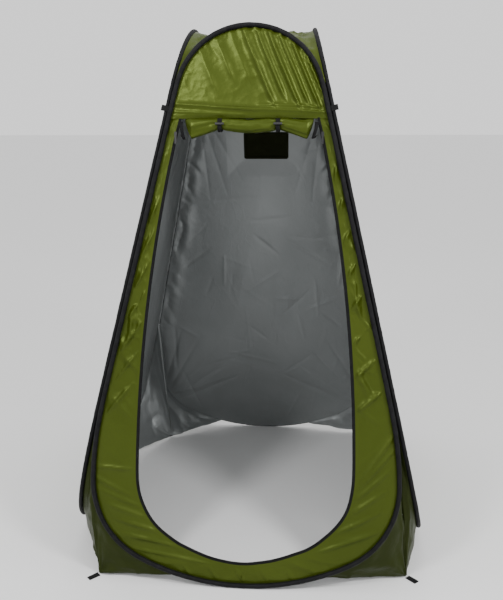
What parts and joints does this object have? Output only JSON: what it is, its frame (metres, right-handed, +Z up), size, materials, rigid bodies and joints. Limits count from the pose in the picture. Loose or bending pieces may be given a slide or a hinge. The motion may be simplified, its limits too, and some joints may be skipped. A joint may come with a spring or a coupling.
{
  "type": "pop up tent",
  "caption": "Tall narrow changing tent with spring hoop walls sewn along leaning corners, a rolled-up door, a back window and open ground",
  "frame": {"origin": "on the ground, under the middle of the roof", "axes": "+Z up, the doorway faces -Y, +X to the right as seen from the front"},
  "size_m": [1.3396, 1.3396, 1.9035],
  "materials": {
    "sleeve_fabric": "woven tape, folded over the wire",
    "spring_steel": "bright spring steel wire",
    "ferrule_steel": "crimped steel tube",
    "wall_fabric": "coated taffeta, green outside and silver inside",
    "gusset_fabric": "coated taffeta, green outside and silver inside",
    "roof_fabric": "coated taffeta, green outside and silver inside",
    "front_fabric": "coated taffeta, green outside and silver inside",
    "door_fabric": "coated taffeta, rolled with its green side out",
    "zip_tape": "black woven zip tape",
    "zip_metal": "black enamel",
    "webbing": "black polypropylene webbing",
    "toggle_plastic": "black moulded plastic",
    "netting": "fine dark netting",
    "window_tape": "dark binding tape",
    "flap_fabric": "coated taffeta"
  },
  "bodies": {
    "back": {"back_hoop_sleeve": "sleeve_fabric", "back_hoop_wire": "spring_steel", "back_wall": "wall_fabric", "back_wire_ferrule": "ferrule_steel", "gusset_back_left_on_back": "gusset_fabric", "gusset_back_right_on_back": "gusset_fabric", "guy_tab_back_left": "webbing", "guy_tab_back_right": "webbing", "roof_back": "roof_fabric", "stake_tab_back_left": "webbing", "stake_tab_back_right": "webbing", "window_binding": "window_tape", "window_mesh": "netting"},
    "left": {"gusset_back_left_on_left": "gusset_fabric", "gusset_front_left_on_left": "gusset_fabric", "guy_tab_front_left": "webbing", "left_hoop_sleeve": "sleeve_fabric", "left_hoop_wire": "spring_steel", "left_wall": "wall_fabric", "left_wire_ferrule": "ferrule_steel", "roof_left": "roof_fabric", "stake_tab_front_left": "webbing"},
    "right": {"gusset_back_right_on_right": "gusset_fabric", "gusset_front_right_on_right": "gusset_fabric", "guy_tab_front_right": "webbing", "right_hoop_sleeve": "sleeve_fabric", "right_hoop_wire": "spring_steel", "right_wall": "wall_fabric", "right_wire_ferrule": "ferrule_steel", "roof_right": "roof_fabric", "stake_tab_front_right": "webbing"},
    "front": {"door_head_tape": "zip_tape", "door_tie_left": "webbing", "door_tie_right": "webbing", "doorway_side_left": "front_fabric", "doorway_side_right": "front_fabric", "doorway_sill": "front_fabric", "front_hoop_sleeve": "sleeve_fabric", "front_hoop_wire": "spring_steel", "front_top_panel": "front_fabric", "front_wire_ferrule": "ferrule_steel", "gusset_front_left_on_front": "gusset_fabric", "gusset_front_right_on_front": "gusset_fabric", "rolled_door": "door_fabric", "roof_front": "roof_fabric", "zip_tape_foot": "zip_tape", "zip_tape_left": "zip_tape", "zip_tape_right": "zip_tape"},
    "tie_toggle_left": {"tie_toggle_left": "toggle_plastic"},
    "tie_toggle_right": {"tie_toggle_right": "toggle_plastic"},
    "window_flap": {"window_flap": "flap_fabric"},
    "zip_pull_left": {"zip_pull_left": "zip_metal"},
    "zip_pull_right": {"zip_pull_right": "zip_metal"},
    "zip_slider_left": {"zip_slider_left": "zip_metal"},
    "zip_slider_right": {"zip_slider_right": "zip_metal"}
  },
  "joints": [
    {"name": "fold", "type": "hinge", "parent": "back", "child": "left", "pos_m": [-0.655, 0.655, 0], "axis": [-0.2218, 0.2218, -0.9495], "range_deg": [0, 60], "deforming": ["gusset_back_left_on_back", "gusset_back_left_on_left"]},
    {"name": "right_fold", "type": "hinge", "parent": "back", "child": "right", "pos_m": [0.655, 0.655, 0], "axis": [0.2218, 0.2218, -0.9495], "range_deg": [0, 62], "deforming": ["gusset_back_right_on_back", "gusset_back_right_on_right", "roof_back", "roof_right", "gusset_front_right_on_right"]},
    {"name": "front_fold", "type": "hinge", "parent": "left", "child": "front", "pos_m": [-0.655, -0.655, 0], "axis": [0.2218, 0.2218, 0.9495], "range_deg": [0, 62], "deforming": ["gusset_front_left_on_left", "gusset_front_left_on_front", "roof_left", "roof_front", "gusset_front_right_on_front"]},
    {"name": "window_flap_hinge", "type": "hinge", "parent": "back", "child": "window_flap", "pos_m": [0.025, 0.29904, 1.5322], "axis": [1, 0, 0], "range_deg": [0, 150]},
    {"name": "zip_left", "type": "slide", "parent": "front", "child": "zip_slider_left", "axis": [-0.1643, -0.2244, -0.9605], "range_m": [0, 0.55]},
    {"name": "zip_pull_hinge_left", "type": "hinge", "parent": "zip_slider_left", "child": "zip_pull_left", "pos_m": [-0.25248, -0.30545, 1.53575], "axis": [-1, 0, 0], "range_deg": [0, 150]},
    {"name": "toggle_turn_left", "type": "hinge", "parent": "front", "child": "tie_toggle_left", "pos_m": [-0.1, -0.3087, 1.57039], "axis": [0, -0.9738, 0.2275], "range_deg": [-80, 80]},
    {"name": "zip_right", "type": "slide", "parent": "front", "child": "zip_slider_right", "axis": [0.1643, -0.2244, -0.9605], "range_m": [0, 0.55]},
    {"name": "zip_pull_hinge_right", "type": "hinge", "parent": "zip_slider_right", "child": "zip_pull_right", "pos_m": [0.25248, -0.30545, 1.53575], "axis": [-1, 0, 0], "range_deg": [0, 150]},
    {"name": "toggle_turn_right", "type": "hinge", "parent": "front", "child": "tie_toggle_right", "pos_m": [0.1, -0.3087, 1.57039], "axis": [0, -0.9738, 0.2275], "range_deg": [-80, 80]}
  ],
  "couplings": [
    {"joint": "right_fold", "follows": "fold", "ratio": 1.03},
    {"joint": "front_fold", "follows": "fold", "ratio": 1.03}
  ]
}
